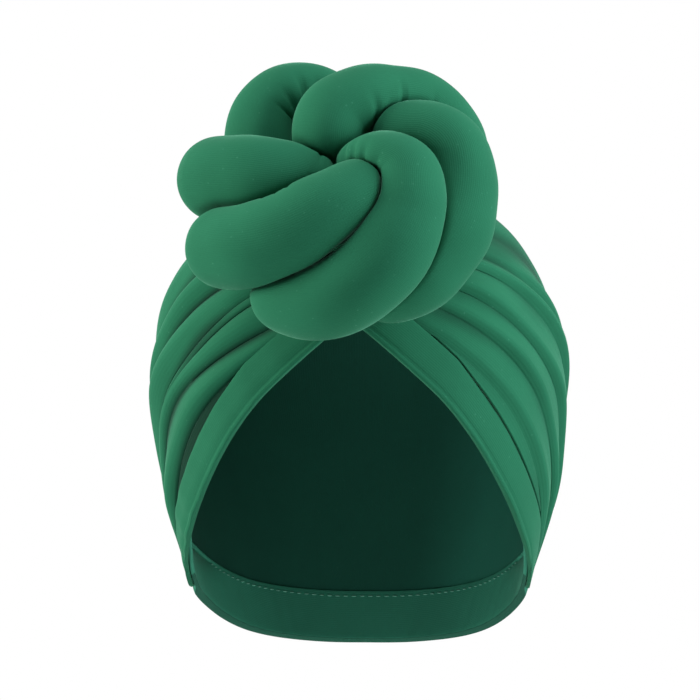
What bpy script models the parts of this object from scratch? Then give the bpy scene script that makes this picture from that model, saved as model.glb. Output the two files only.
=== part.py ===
# Turban headwrap: a pre-tied jersey cap with folds that run from a centre-front gather,
# turned hems along the face opening, a smooth lining, a nape casing inside the rim and a knot
# of padded rolls.
# Metres, +Z up, the face opening towards -Y and the wearer's left at +X.
# The origin is the inner crown, where the cap sits on a head.

import math
from collections import namedtuple

import bmesh
import bpy
import numpy as np
from mathutils import Vector
from mathutils.bvhtree import BVHTree

# The head space inside the lining
HALF_WIDTH = 0.082
FRONT_DEPTH = 0.096
BACK_DEPTH = 0.102
CROWN_HEIGHT = 0.093
LOWER_REACH = 0.225
SIDE_DROP = 0.170
NAPE_DROP = 0.210

# Cloth and clearances
LINING_THICKNESS = 0.0012
WRAP_THICKNESS = 0.0015
CLEARANCE = 0.0004
BAND_CLEARANCE = 0.0006
HEM_CLEARANCE = 0.0014
HEM_WIDTH_LEFT = 0.014
HEM_WIDTH_RIGHT = 0.015
HEM_THICKNESS = 0.0028
HEM_RIM_THICKNESS = 0.0016
BAND_HEIGHT = 0.021
BAND_INNER_PROUD = 0.0008
FOLD_HEIGHT = 0.005
SEAM_MARGIN = 0.004

# Knot
KNOT_RADIUS = 0.062
ROLL_DIAMETER = 0.032
KNOT_DEPTH = 0.060
KNOT_TILT = 27.0
KNOT_SEAT_ANGLE = 38.0
KNOT_BEND = 0.130
ROLL_CLEARANCE = 0.0008
ROLL_END_BLUNTNESS = 2.4
LEAST_ROLL_RADIUS = 0.0002

# Shares of a line of the cloth over which the folds open from the gather seam and close again
# at the nape band, and over which the two hems reach their own widths
GATHER_SHARE = 0.35
BAND_EASE_SHARE = 0.25
HEM_SHARE = 0.15

# Roundness of the folds and of the casings' corners, and the least slant of a line at the rim
FOLD_ROUNDNESS = 2.2
CASING_CORNER = 0.5
LEAST_RIM_SLANT = 0.45

# Mesh fineness
RATE_STEP = 0.02
FRONT_FOLD_STEPS = 4
REAR_FOLD_STEPS = 3
FRONT_FOLDS = 4
WRAP_ROWS = 12
CASING_SIDES = 8
ROLL_SIDES = 12
ROLL_RINGS = 16
ROLL_END_RINGS = 3
CONTACT_SAMPLES = 100
LINE_SAMPLES = 60
RIM_PASSES = 10
MERGE_DISTANCE = 1e-6

# Lines of the cloth from the gather seam to the rim, for the right half of the cap.
# share counts from the opening edge to the back; the angles are degrees round the head
# and above its widest level; rim_drop is a share of the fall from the side rim to the nape.
ClothLine = namedtuple("ClothLine", "share seam_rise mid_turn mid_rise rim_turn rim_drop")
CLOTH_LINES = [
    ClothLine(0.00, 16.4, 39.0, -12.5, 80.0, 0.00),
    ClothLine(0.25, 28.0, 68.0, 12.0, 106.0, 0.50),
    ClothLine(0.50, 40.0, 98.0, 33.0, 132.0, 0.83),
    ClothLine(0.75, 48.0, 130.0, 46.0, 156.0, 0.965),
    ClothLine(1.00, 53.0, 180.0, 44.0, 180.0, 1.00),
]

# Valleys between the folds, as shares of the cloth from the hem to the back at the gather
# seam, half way down and at the rim. height is the fold after the valley and lift is how
# far the valley itself stands off the lining, both as shares of FOLD_HEIGHT.
Valley = namedtuple("Valley", "seam mid rim height lift")
RIGHT_FOLDS = [
    Valley(0.00, 0.000, 0.000, 0.50, 0.10),
    Valley(0.03, 0.060, 0.075, 0.60, 0.50),
    Valley(0.13, 0.145, 0.185, 0.55, 0.60),
    Valley(0.20, 0.228, 0.270, 0.50, 0.30),
    Valley(0.27, 0.300, 0.340, 0.45, 0.05),
    Valley(0.35, 0.400, 0.430, 0.40, 0.00),
    Valley(0.46, 0.530, 0.550, 0.40, 0.00),
    Valley(0.60, 0.670, 0.680, 0.35, 0.00),
    Valley(0.78, 0.830, 0.840, 0.30, 0.00),
    Valley(1.00, 1.000, 1.000, 0.00, 0.00),
]
LEFT_FOLDS = [
    Valley(0.00, 0.000, 0.000, 0.65, 0.00),
    Valley(0.03, 0.075, 0.110, 0.55, 0.00),
    Valley(0.13, 0.097, 0.130, 0.80, 0.00),
    Valley(0.20, 0.200, 0.240, 0.75, 0.00),
    Valley(0.27, 0.310, 0.340, 0.70, 0.00),
    Valley(0.35, 0.430, 0.450, 0.60, 0.00),
    Valley(0.46, 0.550, 0.570, 0.50, 0.00),
    Valley(0.60, 0.680, 0.700, 0.40, 0.00),
    Valley(0.78, 0.840, 0.850, 0.30, 0.00),
    Valley(1.00, 1.000, 1.000, 0.00, 0.00),
]

# Centre lines of the knot's rolls: across and up as shares of KNOT_RADIUS, out and girth
# as shares of ROLL_DIAMETER, out counted from the knot's middle, which bends back at KNOT_BEND.
RollPoint = namedtuple("RollPoint", "across up out girth")
ROLLS = {
    "knot_roll_upper_left": [
        RollPoint(-0.06, 0.09, 0.09, 0.80),
        RollPoint(-0.28, 0.11, 0.25, 1.00),
        RollPoint(-0.50, 0.14, 0.34, 1.08),
        RollPoint(-0.73, 0.19, 0.28, 1.10),
        RollPoint(-0.90, 0.26, 0.14, 1.05),
        RollPoint(-1.03, 0.31, 0.02, 0.98),
    ],
    "knot_roll_lower_left": [
        RollPoint(0.24, 0.04, 0.19, 0.60),
        RollPoint(0.10, -0.07, 0.50, 0.90),
        RollPoint(-0.11, -0.25, 0.62, 1.10),
        RollPoint(-0.33, -0.36, 0.56, 1.14),
        RollPoint(-0.56, -0.40, 0.44, 1.14),
        RollPoint(-0.77, -0.33, 0.25, 1.08),
        RollPoint(-0.95, -0.19, 0.05, 0.95),
    ],
    "knot_roll_inner": [
        RollPoint(0.01, 0.19, 0.12, 0.75),
        RollPoint(0.09, 0.20, 0.38, 0.95),
        RollPoint(0.25, 0.16, 0.62, 1.05),
        RollPoint(0.37, 0.07, 0.69, 1.10),
        RollPoint(0.40, -0.10, 0.69, 1.14),
        RollPoint(0.38, -0.27, 0.62, 1.16),
        RollPoint(0.30, -0.45, 0.56, 1.16),
        RollPoint(0.15, -0.59, 0.44, 1.16),
        RollPoint(-0.03, -0.66, 0.25, 1.14),
        RollPoint(-0.21, -0.66, 0.06, 1.10),
        RollPoint(-0.40, -0.57, -0.12, 1.00),
        RollPoint(-0.54, -0.46, -0.25, 0.90),
    ],
    "knot_roll_outer": [
        RollPoint(0.17, 0.47, 0.06, 0.80),
        RollPoint(0.33, 0.45, 0.25, 0.92),
        RollPoint(0.50, 0.42, 0.36, 0.96),
        RollPoint(0.63, 0.32, 0.38, 0.98),
        RollPoint(0.69, 0.12, 0.31, 0.98),
        RollPoint(0.69, -0.10, 0.25, 0.98),
        RollPoint(0.63, -0.28, 0.19, 1.00),
        RollPoint(0.52, -0.42, 0.06, 1.02),
        RollPoint(0.38, -0.51, -0.06, 1.00),
        RollPoint(0.21, -0.53, -0.19, 0.95),
        RollPoint(0.07, -0.51, -0.31, 0.90),
    ],
    "knot_roll_top": [
        RollPoint(-0.13, 0.28, 0.06, 0.85),
        RollPoint(-0.14, 0.42, 0.25, 0.93),
        RollPoint(-0.08, 0.57, 0.36, 0.98),
        RollPoint(0.05, 0.68, 0.38, 0.98),
        RollPoint(0.23, 0.75, 0.28, 0.98),
        RollPoint(0.40, 0.78, 0.15, 0.98),
        RollPoint(0.54, 0.74, -0.02, 0.98),
        RollPoint(0.63, 0.62, -0.22, 0.98),
        RollPoint(0.61, 0.42, -0.42, 0.98),
        RollPoint(0.45, 0.20, -0.55, 0.98),
        RollPoint(0.26, 0.00, -0.58, 0.90),
    ],
    "knot_roll_back": [
        RollPoint(-0.49, 0.18, -0.48, 0.85),
        RollPoint(-0.59, 0.43, -0.32, 0.88),
        RollPoint(-0.60, 0.64, -0.12, 0.88),
        RollPoint(-0.56, 0.80, -0.02, 0.88),
        RollPoint(-0.45, 0.92, 0.00, 0.90),
        RollPoint(-0.30, 0.96, -0.14, 0.92),
        RollPoint(-0.13, 0.88, -0.36, 0.95),
        RollPoint(-0.02, 0.66, -0.52, 0.98),
        RollPoint(0.00, 0.38, -0.58, 0.98),
        RollPoint(-0.08, 0.12, -0.60, 0.90),
    ],
}

JERSEY_GREEN = (0.016, 0.115, 0.062, 1.0)
LINING_GREEN = (0.006, 0.045, 0.028, 1.0)


def on_form(direction, offset):
    """Points of the head form in the given unit directions, grown outwards by an offset."""
    x, y, z = direction[..., 0], direction[..., 1], direction[..., 2]
    mean_depth = (FRONT_DEPTH + BACK_DEPTH) / 2
    longer_back = (BACK_DEPTH - FRONT_DEPTH) / 2
    below = np.where(z < 0, (LOWER_REACH - CROWN_HEIGHT) * z * z, 0.0)
    return np.stack([
        (HALF_WIDTH + offset) * x,
        (mean_depth + offset) * y + longer_back * y * y,
        (CROWN_HEIGHT + offset) * z - below - CROWN_HEIGHT,
    ], axis=-1)


def direction_at(turn, rise):
    """Unit direction from degrees round the head, counted from the front, and degrees up."""
    turn, rise = np.radians(turn), np.radians(rise)
    return np.stack([np.cos(rise) * np.sin(turn), -np.cos(rise) * np.cos(turn), np.sin(rise)], axis=-1)


def rise_at_drop(drop):
    """Degrees, below the widest level, at which the form lies a given drop under the crown."""
    depth = drop - CROWN_HEIGHT
    extra = LOWER_REACH - CROWN_HEIGHT
    sine = (math.sqrt(CROWN_HEIGHT ** 2 + 4 * extra * depth) - CROWN_HEIGHT) / (2 * extra)
    return -math.degrees(math.asin(sine))


def unit(vectors):
    return vectors / np.linalg.norm(vectors, axis=-1, keepdims=True)


def cloth_line_directions():
    """Seam, middle and rim directions of the cloth lines, from the right edge round to the left."""
    rows = []
    for line in CLOTH_LINES:
        drop = SIDE_DROP + (NAPE_DROP - SIDE_DROP) * line.rim_drop
        rows.append([
            direction_at(0.0, line.seam_rise),
            direction_at(line.mid_turn, line.mid_rise),
            direction_at(line.rim_turn, rise_at_drop(drop)),
        ])
    right = np.array(rows)
    left = right[-2::-1] * np.array([-1, 1, 1])
    shares = np.array([line.share for line in CLOTH_LINES])
    return np.concatenate([shares, 2 - shares[-2::-1]]), np.concatenate([right, left])


LINE_SHARES, LINE_DIRECTIONS = cloth_line_directions()
LINE_SLOPES = np.gradient(LINE_DIRECTIONS, LINE_SHARES, axis=0)


def cloth_direction(across, down):
    """Direction of the cloth at a share across (0 right edge, 1 back, 2 left edge) and down."""
    across, down = np.broadcast_arrays(np.asarray(across, float), np.asarray(down, float))
    index = np.clip(np.searchsorted(LINE_SHARES, across, side="right") - 1, 0, len(LINE_SHARES) - 2)
    step = (LINE_SHARES[index + 1] - LINE_SHARES[index])[..., None, None]
    x = (across - LINE_SHARES[index])[..., None, None] / step
    ends = (2 * x ** 3 - 3 * x ** 2 + 1) * LINE_DIRECTIONS[index]
    ends = ends + (3 * x ** 2 - 2 * x ** 3) * LINE_DIRECTIONS[index + 1]
    turns = (x ** 3 - 2 * x ** 2 + x) * LINE_SLOPES[index] + (x ** 3 - x ** 2) * LINE_SLOPES[index + 1]
    seam, mid, rim = np.moveaxis(unit(ends + step * turns), -2, 0)
    v = down[..., None]
    return unit((1 - v) * (1 - 2 * v) * seam + 4 * v * (1 - v) * mid + v * (2 * v - 1) * rim)


def cloth_point(across, down, offset):
    return on_form(cloth_direction(across, down), offset)


def smooth(value):
    value = np.clip(value, 0, 1)
    return value * value * (3 - 2 * value)


def across_rate(down):
    """Metres along the cloth for each unit of across, near the opening edge."""
    step = cloth_point(RATE_STEP, down, 0.0) - cloth_point(0.0, down, 0.0)
    return np.linalg.norm(step, axis=-1) / RATE_STEP


def down_rate(across):
    """Metres square to the rim for each unit of down, near the rim."""
    after, before = cloth_point(across + RATE_STEP, 1.0, 0.0), cloth_point(across - RATE_STEP, 1.0, 0.0)
    along_rim = unit(after - before)
    along_line = cloth_point(across, 1.0, 0.0) - cloth_point(across, 1 - RATE_STEP, 0.0)
    length = np.linalg.norm(along_line, axis=-1)
    square = np.linalg.norm(np.cross(along_rim, along_line), axis=-1)
    return np.hypot(square, LEAST_RIM_SLANT * length) / RATE_STEP


def hem_share(down, width):
    """Share across that a hem of one width covers; both hems are alike where they meet."""
    mean_width = (HEM_WIDTH_LEFT + HEM_WIDTH_RIGHT) / 2
    blend = smooth(down / HEM_SHARE)
    return (mean_width + (width - mean_width) * blend) / across_rate(down)


def band_top(across):
    """Share down at which the nape band starts."""
    return 1 - BAND_HEIGHT / down_rate(across)


def through_three(first, middle, last, down):
    """Parabola through the values at the seam, half way down and at the rim."""
    return (1 - down) * (1 - 2 * down) * first + 4 * down * (1 - down) * middle + down * (2 * down - 1) * last


def lining_length(across):
    """Share down at which the lining ends, just above the nape band."""
    return band_top(across) - BAND_CLEARANCE / down_rate(across)


def line_run(across_at):
    """Fine steps down a line of the cloth, as far as the nape band, and the metres run at each."""
    end = 1.0
    for _ in range(RIM_PASSES):
        end = float(lining_length(across_at(end)))
    down = np.linspace(0, end, LINE_SAMPLES)
    steps = np.linalg.norm(np.diff(cloth_point(across_at(down), down, 0.0), axis=0), axis=1)
    return down, np.concatenate([[0.0], np.cumsum(steps)])


def column_at(across_at):
    """Shares across and down in even steps along a line as far as the nape band, with one more
    where the hems start, and then in the band's own steps down to the rim."""
    opening_edge = line_run(lambda down: 0.0 * down)[1]
    rows = np.insert(np.linspace(0, 1, WRAP_ROWS + 1), 1, SEAM_MARGIN / opening_edge[-1])
    down, run = line_run(across_at)
    down = np.interp(rows * run[-1], run, down)
    down = np.concatenate([down, down[-1] + (1 - down[-1]) * band_steps()])
    rows = np.concatenate([rows, np.ones(len(band_steps()))])
    return across_at(down), down, rows


def casing_profile():
    """A flat tube's section: across and through it, each from 0 to 1."""
    angle = np.arange(CASING_SIDES) * 2 * math.pi / CASING_SIDES + math.pi / CASING_SIDES
    across = np.sign(np.cos(angle)) * abs(np.cos(angle)) ** CASING_CORNER
    through = np.sign(np.sin(angle)) * abs(np.sin(angle)) ** CASING_CORNER
    return tuple(np.round((value / abs(value).max() + 1) / 2, 6) for value in (across, through))


def band_steps():
    """Shares of the nape band's height at which the cloth over it has points: the corners of
    the band's section and its middle."""
    return np.unique(np.append(casing_profile()[0], 0.5))[1:]


def fold_columns(folds):
    """Valley index and place within its fold for each column of the cloth."""
    columns = []
    for index in range(len(folds) - 1):
        steps = FRONT_FOLD_STEPS if index < FRONT_FOLDS else REAR_FOLD_STEPS
        columns += [(index, step / steps) for step in range(steps)]
    return columns + [(len(folds) - 2, 1.0)]


def half_grid(folds, hem_width):
    """Share across, share down and fold height on a grid of columns and rows, for one half."""
    gap = (CLEARANCE + WRAP_THICKNESS) / across_rate(0.5)
    across, down, height = [], [], []
    for index, place in fold_columns(folds):
        near, far = folds[index], folds[index + 1]

        def across_at(line_down, near=near, far=far, place=place):
            start = through_three(near.seam, near.mid, near.rim, line_down)
            end = through_three(far.seam, far.mid, far.rim, line_down)
            hem = hem_share(line_down, hem_width) + gap
            return hem + (1 - hem) * (start + (end - start) * place)

        across_column, down_column, rows = column_at(across_at)
        envelope = smooth(down_column / GATHER_SHARE) * smooth((1 - rows) / BAND_EASE_SHARE)
        arch = near.height * (1 - abs(2 * place - 1) ** FOLD_ROUNDNESS)
        lift = near.lift + (far.lift - near.lift) * place
        across.append(across_column)
        down.append(down_column)
        height.append(FOLD_HEIGHT * (arch + lift) * envelope)
    return np.array(across), np.array(down), np.array(height)


def whole_grid():
    """Both halves of the cloth side by side: right edge, back, left edge."""
    right = half_grid(RIGHT_FOLDS, HEM_WIDTH_RIGHT)
    left = half_grid(LEFT_FOLDS, HEM_WIDTH_LEFT)
    across = np.concatenate([right[0], 2 - left[0][-2::-1]])
    down = np.concatenate([right[1], left[1][-2::-1]])
    height = np.concatenate([right[2], left[2][-2::-1]])
    return across, down, height


def grid_faces(columns, rows):
    """Quads of a grid of columns and rows, facing outwards on the cap."""
    start = np.arange(columns - 1)[:, None] * rows + np.arange(rows - 1)[None, :]
    return np.stack([start, start + 1, start + rows + 1, start + rows], axis=-1).reshape(-1, 4).tolist()


def tube_faces(rings, sides):
    """Quads between neighbouring rings of a tube."""
    faces = []
    for ring in range(rings - 1):
        for side in range(sides):
            a, b = ring * sides + side, ring * sides + (side + 1) % sides
            faces.append((a, b, b + sides, a + sides))
    return faces


def pole_faces(rings, sides):
    """Triangles from the first and last rings to the two points that follow the rings."""
    last, pole = (rings - 1) * sides, rings * sides
    faces = []
    for side in range(sides):
        turn = (side + 1) % sides
        faces.append((turn, side, pole))
        faces.append((last + side, last + turn, pole + 1))
    return faces


def make_object(name, points, faces, colour, roughness):
    """A named object with its own material, its doubled points joined and its faces outwards."""
    mesh = bpy.data.meshes.new(name)
    mesh.from_pydata(np.asarray(points).reshape(-1, 3).tolist(), [], faces)
    shape = bmesh.new()
    shape.from_mesh(mesh)
    bmesh.ops.remove_doubles(shape, verts=shape.verts, dist=MERGE_DISTANCE)
    shape.to_mesh(mesh)
    shape.free()
    mesh.shade_smooth()
    finished = bpy.data.objects.new(name, mesh)
    turban.objects.link(finished)
    material = bpy.data.materials.new(name)
    material.use_nodes = True
    shader = material.node_tree.nodes["Principled BSDF"]
    shader.inputs["Base Color"].default_value = colour
    shader.inputs["Roughness"].default_value = roughness
    shader.inputs["Metallic"].default_value = 0.0
    mesh.materials.append(material)
    return finished


def add_wall(cloth, thickness):
    """Gives an open sheet its thickness, outwards."""
    wall = cloth.modifiers.new("wall", "SOLIDIFY")
    wall.thickness = thickness
    wall.offset = 1.0
    wall.use_even_offset = True


def make_wrap():
    across, down, height = whole_grid()
    base = LINING_THICKNESS + CLEARANCE
    points = cloth_point(across, down, base + height)
    wrap = make_object("outer_wrap", points, grid_faces(*across.shape), JERSEY_GREEN, 0.85)
    add_wall(wrap, WRAP_THICKNESS)
    return wrap


def make_lining():
    """Follows the columns of the wrap and, under each hem, the two lines of the hem's flat side."""
    across, down, _ = whole_grid()
    flat_ends = [share for share in np.unique(casing_profile()[0]) if 0 < share < 1]
    right = [hem_column(HEM_WIDTH_RIGHT, share) for share in flat_ends]
    left = [hem_column(HEM_WIDTH_LEFT, share) for share in flat_ends[::-1]]
    across = np.concatenate([[column[0] for column in right], across, [2 - column[0] for column in left]])
    down = np.concatenate([[column[1] for column in right], down, [column[1] for column in left]])
    above_band = slice(0, -len(band_steps()))
    points = cloth_point(across, down, 0.0)[:, above_band]
    lining = make_object("lining", points, grid_faces(*points.shape[:2]), LINING_GREEN, 0.9)
    add_wall(lining, LINING_THICKNESS)


def face_outwards(shell):
    """Turns the faces of a closed mesh outwards."""
    shape = bmesh.new()
    shape.from_mesh(shell.data)
    bmesh.ops.recalc_face_normals(shape, faces=shape.faces)
    shape.to_mesh(shell.data)
    shape.free()


def make_casing(name, sections, colour):
    """Closed casing from an array of sections, each a ring of points, with flat strips for ends."""
    rings = len(sections)
    faces = tube_faces(rings, CASING_SIDES)
    for first in (0, (rings - 1) * CASING_SIDES):
        for step in range(CASING_SIDES // 2 - 1):
            near, far = first + step, first + CASING_SIDES - 1 - step
            faces.append((near, near + 1, far - 1, far))
    face_outwards(make_object(name, sections, faces, colour, 0.85))


def hem_column(width, share):
    """A line of one hem at a share of its width."""
    return column_at(lambda down: hem_share(down, width) * share)


def make_hem(name, width, side):
    """Turned hem beside the wrap, from near the gather seam down to the rim."""
    base = LINING_THICKNESS + HEM_CLEARANCE
    corners = []
    for share, through in zip(*casing_profile()):
        across, down, rows = hem_column(width, share)
        across = across if side > 0 else 2 - across
        thickness = HEM_RIM_THICKNESS + (HEM_THICKNESS - HEM_RIM_THICKNESS) * smooth((1 - rows) / BAND_EASE_SHARE)
        corners.append(cloth_point(across[1:], down[1:], base + thickness[1:] * through))
    make_casing(name, np.stack(corners, axis=1), JERSEY_GREEN)


def make_nape_band():
    """Casing inside the rim of the wrap, from one side of the face opening to the other."""
    down_profile, through_profile = casing_profile()
    across, _, _ = whole_grid()
    at_top = -1 - len(band_steps())
    hem_shares = np.unique(casing_profile()[0])
    right = [hem_column(HEM_WIDTH_RIGHT, share)[0][at_top] for share in hem_shares]
    left = [2 - hem_column(HEM_WIDTH_LEFT, share)[0][at_top] for share in hem_shares]
    stations = np.unique(np.round(np.concatenate([right, across[:, at_top], left]), 6))
    inner, outer = -BAND_INNER_PROUD, LINING_THICKNESS
    sections = []
    for station in stations:
        top = band_top(station)
        down = top + (1 - top) * down_profile
        sections.append(cloth_point(station, down, inner + (outer - inner) * through_profile))
    make_casing("nape_band", np.array(sections), JERSEY_GREEN)


def knot_axes():
    """Right, up and outward axes of the tilted knot, and its middle point."""
    tilt = math.radians(KNOT_TILT)
    outward = np.array([0.0, -math.cos(tilt), math.sin(tilt)])
    up = np.array([0.0, math.sin(tilt), math.cos(tilt)])
    right = np.array([1.0, 0.0, 0.0])
    wrap_outside = LINING_THICKNESS + CLEARANCE + WRAP_THICKNESS
    seat = on_form(direction_at(0.0, KNOT_SEAT_ANGLE), wrap_outside)
    return right, up, outward, seat + outward * KNOT_DEPTH / 2


def roll_path(rows):
    """Centre points and radii at even steps along a smooth line through a roll's points."""
    right, up, outward, middle = knot_axes()
    table = np.array(rows)
    across, rise = KNOT_RADIUS * table[:, :1], KNOT_RADIUS * table[:, 1:2]
    out = ROLL_DIAMETER * table[:, 2:3] - (across ** 2 + rise ** 2) / (2 * KNOT_BEND)
    centres = middle + across * right + rise * up + out * outward
    keys = np.concatenate([centres, ROLL_DIAMETER / 2 * table[:, 3:4]], axis=1)
    places = np.concatenate([[0], np.cumsum(np.linalg.norm(np.diff(centres, axis=0), axis=1))])
    slopes = np.gradient(keys, places, axis=0)

    def at(distance):
        index = np.clip(np.searchsorted(places, distance, side="right") - 1, 0, len(places) - 2)
        step = (places[index + 1] - places[index])[:, None]
        x = (distance - places[index])[:, None] / step
        curve = (2 * x ** 3 - 3 * x ** 2 + 1) * keys[index] + (3 * x ** 2 - 2 * x ** 3) * keys[index + 1]
        return curve + step * ((x ** 3 - 2 * x ** 2 + x) * slopes[index] + (x ** 3 - x ** 2) * slopes[index + 1])

    return at, places[-1]


def rounded_radii(keys, distance, length):
    """Radii that close in a round end at both ends of the roll."""
    radius = keys[:, 3]
    start = np.clip(1 - distance / keys[0, 3], 0, 1)
    end = np.clip(1 - (length - distance) / keys[-1, 3], 0, 1)
    blunt = ROLL_END_BLUNTNESS
    return radius * ((1 - start ** blunt) * (1 - end ** blunt)) ** (1 / blunt)


def roll_rings(at, length):
    """Distances of the rings along a roll, closer together over its round ends."""
    start_radius = at(np.array([0.0]))[0, 3]
    end_radius = at(np.array([length]))[0, 3]
    angle = np.linspace(0, math.pi / 2, ROLL_END_RINGS + 1)[1:]
    start = start_radius * (1 - np.cos(angle))
    end = length - end_radius * (1 - np.cos(angle[::-1]))
    middle = np.linspace(start[-1], end[0], ROLL_RINGS - 2 * ROLL_END_RINGS + 2)[1:-1]
    return np.concatenate([start, middle, end])


def make_knot(wrap):
    """Padded rolls, each pressed flat where it meets another roll or the wrap."""
    depsgraph = bpy.context.evaluated_depsgraph_get()
    tree = BVHTree.FromObject(wrap, depsgraph)
    outward = knot_axes()[2]
    paths = {name: roll_path(rows) for name, rows in ROLLS.items()}
    samples = {}
    for name, (at, length) in paths.items():
        distance = np.linspace(0, length, CONTACT_SAMPLES)
        keys = at(distance)
        samples[name] = (keys[:, :3], rounded_radii(keys, distance, length))
    for name, (at, length) in paths.items():
        others = [samples[other] for other in samples if other != name]
        other_centres = np.concatenate([centre for centre, _ in others])
        other_radii = np.concatenate([radius for _, radius in others])
        distance = roll_rings(at, length)
        keys = at(distance)
        centres, radii = keys[:, :3], rounded_radii(keys, distance, length)
        tangents = unit(np.gradient(centres, distance, axis=0))
        side = unit(np.cross(tangents, outward))
        top = np.cross(side, tangents)
        angle = np.arange(ROLL_SIDES) * 2 * math.pi / ROLL_SIDES
        points = []
        for centre, radius, s, t in zip(centres, radii, side, top):
            spread = np.cos(angle)[:, None] * s + np.sin(angle)[:, None] * t
            away = other_centres - centre
            reach = (away ** 2).sum(axis=1) + radius ** 2 - other_radii ** 2
            towards = spread @ away.T
            meets = np.where(towards > 0, reach / np.maximum(2 * towards, MERGE_DISTANCE), np.inf)
            room = np.minimum(radius, meets.min(axis=1) - ROLL_CLEARANCE / 2)
            for index in range(ROLL_SIDES):
                hit = tree.ray_cast(Vector(centre), Vector(spread[index]), float(radius))[3]
                if hit is not None:
                    room[index] = min(room[index], hit - ROLL_CLEARANCE)
            points.append(centre + np.maximum(room, LEAST_ROLL_RADIUS)[:, None] * spread)
        ends = np.array([at(np.array([0.0]))[0, :3], at(np.array([length]))[0, :3]])
        points = np.concatenate([np.concatenate(points), ends])
        faces = tube_faces(len(distance), ROLL_SIDES) + pole_faces(len(distance), ROLL_SIDES)
        face_outwards(make_object(name, points, faces, JERSEY_GREEN, 0.85))


for item in list(bpy.data.objects):
    bpy.data.objects.remove(item, do_unlink=True)
turban = bpy.data.collections.new("turban_headwrap")
bpy.context.scene.collection.children.link(turban)

outer_wrap = make_wrap()
make_lining()
make_hem("front_hem_right", HEM_WIDTH_RIGHT, 1)
make_hem("front_hem_left", HEM_WIDTH_LEFT, -1)
make_nape_band()
bpy.context.view_layer.update()
make_knot(outer_wrap)
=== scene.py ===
# Turban headwrap in emerald cotton jersey: a folded cap, its smooth lining, turned hems,
# a nape casing and a knot of padded rolls. Metres, +Z up, the face opening towards -Y.

import math
from collections import namedtuple

import bmesh
import bpy
import numpy as np
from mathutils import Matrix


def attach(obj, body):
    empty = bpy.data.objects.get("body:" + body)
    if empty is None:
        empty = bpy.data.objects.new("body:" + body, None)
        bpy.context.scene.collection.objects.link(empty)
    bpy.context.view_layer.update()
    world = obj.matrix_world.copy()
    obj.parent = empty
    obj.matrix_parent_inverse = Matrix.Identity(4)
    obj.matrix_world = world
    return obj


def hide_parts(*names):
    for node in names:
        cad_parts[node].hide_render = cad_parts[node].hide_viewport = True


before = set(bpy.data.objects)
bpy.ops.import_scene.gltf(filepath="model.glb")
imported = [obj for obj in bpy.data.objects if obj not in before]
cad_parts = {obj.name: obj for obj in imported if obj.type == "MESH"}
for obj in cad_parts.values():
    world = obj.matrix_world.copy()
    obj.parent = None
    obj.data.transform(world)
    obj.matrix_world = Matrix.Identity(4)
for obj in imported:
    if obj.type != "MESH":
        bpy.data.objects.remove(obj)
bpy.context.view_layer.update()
print("frame loaded")


# Millimetres, smooth steps and unit vectors, for single values and whole arrays

millimetre = 0.001


def smoothStep(value):
    # three squares less two cubes of a value held between 0 and 1
    value = np.clip(value, 0, 1)
    return value * value * (3 - 2 * value)


def unit(vectors):
    return vectors / np.linalg.norm(vectors, axis=-1, keepdims=True)


# Shader maths

class Link:
    # a shader socket on which + - * / build Math nodes

    def __init__(self, tree, socket):
        self.tree, self.socket = tree, socket

    def math(self, operation, *others):
        node = self.tree.nodes.new("ShaderNodeMath")
        node.operation = operation
        for index, value in enumerate((self,) + others):
            connect(self.tree, node.inputs[index], value)
        return Link(self.tree, node.outputs[0])

    def __add__(self, other):
        return self.math("ADD", other)

    def __mul__(self, other):
        return self.math("MULTIPLY", other)

    def __sub__(self, other):
        return self.math("SUBTRACT", other)

    def __rsub__(self, other):
        return self.math("MULTIPLY", -1.0) + other

    def clamp(self):
        node = self.tree.nodes.new("ShaderNodeClamp")
        self.tree.links.new(self.socket, node.inputs["Value"])
        return Link(self.tree, node.outputs[0])


def connect(tree, socket, value):
    # sets a socket to a number or colour, or links it to another node's output
    if isinstance(value, Link):
        tree.links.new(value.socket, socket)
    else:
        socket.default_value = value


class Shader:
    # a node tree with one way to add any node: its type, its settings and its inputs

    def __init__(self, tree):
        self.tree = tree
        tree.nodes.clear()

    def add(self, kind, settings=None, inputs=None, output=0):
        node = self.tree.nodes.new(kind)
        for key, value in (settings or {}).items():
            setattr(node, key, value)
        for key, value in (inputs or {}).items():
            connect(self.tree, node.inputs[key], value)
        return Link(self.tree, node.outputs[output]) if len(node.outputs) else node

    def mixColour(self, factor, first, second):
        node = self.tree.nodes.new("ShaderNodeMix")
        node.data_type = "RGBA"
        for index, value in ((0, factor), (6, first), (7, second)):
            connect(self.tree, node.inputs[index], value)
        return Link(self.tree, node.outputs[2])

    def parts(self, vector):
        node = self.tree.nodes.new("ShaderNodeSeparateXYZ")
        connect(self.tree, node.inputs[0], vector)
        return [Link(self.tree, output) for output in node.outputs]


# Camera, level with the middle of the cap and a little towards +X

cameraSet = dict(distance=1.2, turn=2.5, height=-0.078, aside=-0.0041, lens=143.8, sensor=36.0)


def addCamera():
    turn = math.radians(cameraSet["turn"])
    right = np.array([math.cos(turn), math.sin(turn), 0.0])
    ahead = np.array([-math.sin(turn), math.cos(turn), 0.0])
    place = right * cameraSet["aside"] - ahead * cameraSet["distance"]
    data = bpy.data.cameras.new("camera")
    data.lens = cameraSet["lens"]
    data.sensor_width = cameraSet["sensor"]
    camera = bpy.data.objects.new("camera", data)
    camera.location = (place[0], place[1], cameraSet["height"])
    camera.rotation_euler = (math.pi / 2, 0.0, turn)
    bpy.context.scene.collection.objects.link(camera)
    bpy.context.scene.camera = camera


addCamera()


# Studio: white world, pale floor far below, soft boxes at both sides, low in front and above

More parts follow.
